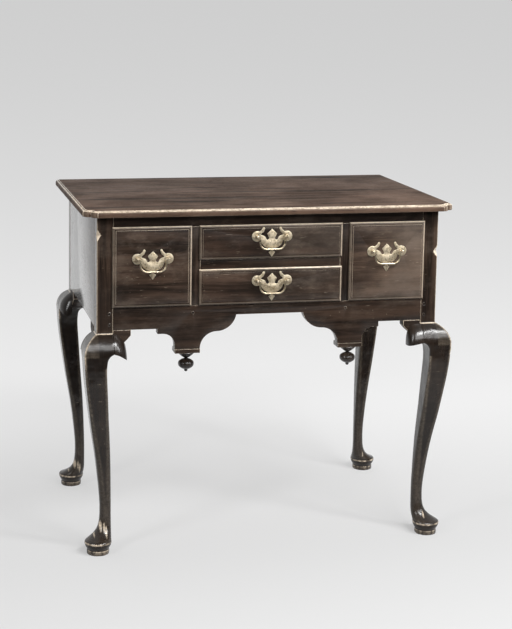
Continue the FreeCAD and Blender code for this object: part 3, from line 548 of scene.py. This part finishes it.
# For each drawer: dark and lit brown, where its grain is cut from, and where and how much a painted
# glare pales it towards the right
drawer_tones = {
    "left": ((0.011, 0.007, 0.0048), (0.072, 0.045, 0.031), (0.2, 0.7, 1.1), None),
    "right": ((0.015, 0.0095, 0.007), (0.130, 0.084, 0.058), (1.9, 0.3, 0.2),
              (0.20, 0.34, 0.0, 0.85)),
    "upper": ((0.008, 0.005, 0.0035), (0.054, 0.033, 0.023), (0.9, 2.3, 1.6),
              (-0.05, 0.12, 0.0, 0.45)),
    "lower": ((0.012, 0.0075, 0.005), (0.076, 0.047, 0.033), (2.6, 0.9, 0.5),
              (-0.05, 0.12, 0.0, 0.15)),
}
for drawer, (dark, lit, shift, painted_glare) in drawer_tones.items():
    wood = waxed_wood("front_wood_" + drawer, "X", shift, dark, lit, bare=0.7, mottle=0.75,
                      painted_glare=painted_glare)
    front = eased("drawer_%s_front" % drawer, bend=40.0)
    # Painted highlight on the lips' round: full where they look up, half where they look right
    paint_moulding_highlights(front, steep=0.42, upper=1.0, right=0.5, other=0.12)
    # The upper edge of the field keeps almost none of the pale mark, wear and painted highlight
    # alike
    face_y = min(v.co.y for v in front.verts)
    for face in front.faces:
        if face.calc_center_median().y < face_y + field_edge and face.normal.z > 0.2:
            face[front.faces.layers.float[wear_highlight_layer]] = field_edge_wear_and_highlight
    finished(front, "lipped_front_" + drawer, ["drawer_%s_front" % drawer], wood)
    for part, along in (("sides", "Y"), ("back", "X"), ("bottom", "X")):
        node = "drawer_%s_%s" % (drawer, part)
        finished(eased(node, drawer_ease), node + "_board", [node],
                 bare_softwood(node + "_softwood", along, shift, drawer_pine_pale,
                               drawer_pine_dark))

# Handles
# Cast and filed brass: a cut plate with bevelled edges, two turned posts with round heads, and a
# bail thickest at the middle of its grip, sprung between the posts.
brass_bright = (0.76, 0.66, 0.49)
brass_dull = (0.46, 0.38, 0.26)
brass_speck = (0.22, 0.17, 0.11)
brass_pit = (0.12, 0.09, 0.06)
brass_rubbed = (0.86, 0.78, 0.60)


def old_brass(name, shift, polish):
    """Brass polished now and then for centuries: pale on its edges, browner in the hollows."""
    material, tree, shader, place = fresh_material(name)
    moved = stretched(tree, place, shift, (1.0, 1.0, 1.0))
    clouds = pattern(tree, "Noise", moved, Scale=60.0, Detail=6.0, Roughness=0.65)
    specks = pattern(tree, "Noise", moved, Scale=300.0, Detail=3.0, Roughness=0.6)
    pits = pattern(tree, "Noise", moved, Scale=650.0, Detail=3.0, Roughness=0.6)
    colour = blended(tree, banded(tree, clouds, 0.40, 0.68), brass_bright, brass_dull)
    colour = blended(tree, banded(tree, specks, 0.50, 0.66, 0.0, 0.75), colour, brass_speck)
    colour = blended(tree, banded(tree, pits, 0.60, 0.75, 0.0, 0.6), colour, brass_pit)
    paled = counted(tree, "MULTIPLY", wear_highlight_marks(tree), 0.8)
    link(tree, blended(tree, paled, colour, brass_rubbed), shader.inputs["Base Color"])
    link(tree, banded(tree, clouds, 0.3, 0.7, polish, polish + 0.14), shader.inputs["Roughness"])
    bumped(tree, shader, counted(tree, "ADD", clouds, pits), 0.4, 0.0002)
    shader.inputs["Metallic"].default_value = 1.0
    return material


for count, drawer in enumerate(drawer_tones):
    brass = old_brass("brass_" + drawer, (0.3 * count, 0.1, 0.7 * count), polish=0.46)
    worn_brass = old_brass("worn_brass_" + drawer, (0.5 * count, 0.9, 0.2 * count), polish=0.24)
    plate, posts, bail = ("handle_%s_%s" % (drawer, part) for part in ("plate", "posts", "bail"))
    finished(eased(plate, 0.0005), "cut_plate_" + drawer, [plate], brass)
    finished(eased(posts, 0.0003, bend=50.0), "post_pair_" + drawer, [posts], worn_brass)
    finished(eased(bail, 0.0002, 1, bend=60.0), "swinging_bail_" + drawer, [bail],
             worn_brass)

# Floor and light
# Pale paper, bright to the camera everywhere, that ends on a dark floor in front for reflections
# and bounced light.  Four soft lamps: left, right, and a wide and a narrow one above the front.
# Pale walls all round, darker in front to all but the camera.
floor_half = 400.0
paper_front = (-1.5, -1.0)  # Y over which the dark floor in front turns into paper
dark_floor = (0.04, 0.04, 0.04)
pale_paper = (0.32, 0.32, 0.32)
floor = bpy.data.meshes.new("floor")
bm = bmesh.new()
bmesh.ops.create_grid(bm, x_segments=1, y_segments=1, size=floor_half)
bm.to_mesh(floor)
bm.free()
floor_piece = placed("floor", floor)
paper, tree, shader, place = fresh_material("floor_paper")
shader.inputs["Roughness"].default_value = 0.9
shader.inputs["Specular IOR Level"].default_value = 0.0
spot = tree.nodes.new("ShaderNodeSeparateXYZ")
link(tree, place, spot.inputs[0])
back = spot.outputs["Y"]
on_paper = banded(tree, back, *paper_front)
link(tree, blended(tree, on_paper, dark_floor, pale_paper), shader.inputs["Base Color"])
# Painted light: to the camera the paper glows least in front of the table, more behind it, and
# fades far away; reflections see it glow, less near the front, and not the dark floor
rays = tree.nodes.new("ShaderNodeLightPath")
mirrored = counted(tree, "MULTIPLY", rays.outputs["Is Glossy Ray"],
                   banded(tree, back, -0.3, 0.8, 0.35, 1.0))
mirrored = counted(tree, "MULTIPLY", mirrored, on_paper)
seen = counted(tree, "MAXIMUM", rays.outputs["Is Camera Ray"], mirrored)
nearness = counted(tree, "DIVIDE", 1.0, counted(tree, "ADD", back, 4.5))
glow = counted(tree, "MULTIPLY", banded(tree, nearness, 0.0, 0.17, 0.50, 0.61),
               banded(tree, back, -0.4, 1.0, 0.58, 1.0))
glow = counted(tree, "ADD", glow, banded(tree, back, *paper_front, 0.35, 0.0))
shader.inputs["Emission Color"].default_value = (1, 1, 1, 1)
link(tree, counted(tree, "MULTIPLY", seen, glow), shader.inputs["Emission Strength"])
floor.materials.append(paper)

wall_glow = 0.60
world = bpy.data.worlds.new("studio")
world.use_nodes = True
bpy.context.scene.world = world
tree = world.node_tree
sky = tree.nodes["Background"]
sky.inputs["Color"].default_value = (1.0, 1.0, 1.0, 1)
heading = tree.nodes.new("ShaderNodeSeparateXYZ")
link(tree, tree.nodes.new("ShaderNodeTexCoord").outputs["Generated"], heading.inputs[0])
walls = banded(tree, heading.outputs["Y"], -0.65, 0.45, 0.10, wall_glow)
sight = tree.nodes.new("ShaderNodeLightPath").outputs["Is Camera Ray"]
walls = counted(tree, "MAXIMUM", walls, counted(tree, "MULTIPLY", sight, wall_glow))
link(tree, walls, sky.inputs["Strength"])

lamp_target = Vector((0, 0, 0.5))
# For each lamp: where it is, its width and height in metres, and its watts
lamps = (("left", (-2.35, -1.75, 1.9), 0.6, 1.3, 22.0),
         ("right", (2.2, -2.0, 2.0), 0.5, 1.3, 28.0),
         ("above", (0.35, -2.2, 2.0), 2.2, 1.2, 40.0),
         ("above_core", (0.9, -1.7, 2.55), 1.5, 0.32, 48.0))
for name, stand, wide, tall, power in lamps:
    lamp = bpy.data.lights.new(name, "AREA")
    lamp.shape = "RECTANGLE"
    lamp.size = wide
    lamp.size_y = tall
    lamp.energy = power
    light = placed(name, lamp)
    light.location = stand
    aim = lamp_target - Vector(stand)
    light.rotation_euler = aim.to_track_quat("-Z", "Y").to_euler()

view_from = (-0.8810, -3.6638, 1.3185)
view_turn, view_dip, view_roll = 0.2065, 0.1409, 0.0122
lens_px, middle_px, frame_px = 1567.42, (200.0, 195.0), (512.0, 629.0)
camera_data = bpy.data.cameras.new("camera")
camera = placed("camera", camera_data)
camera_data.sensor_width = 36.0
camera_data.lens = lens_px * camera_data.sensor_width / frame_px[1]
camera_data.shift_x = (frame_px[0] / 2 - middle_px[0]) / frame_px[1]
camera_data.shift_y = -(frame_px[1] / 2 - middle_px[1]) / frame_px[1]
turn = Matrix.Rotation(-view_turn, 4, "Z")
dip = Matrix.Rotation(math.pi / 2 - view_dip, 4, "X")
roll = Matrix.Rotation(view_roll, 4, "Z")
camera.matrix_world = Matrix.Translation(view_from) @ turn @ dip @ roll
bpy.context.scene.camera = camera
bpy.context.scene.view_settings.view_transform = "Standard"
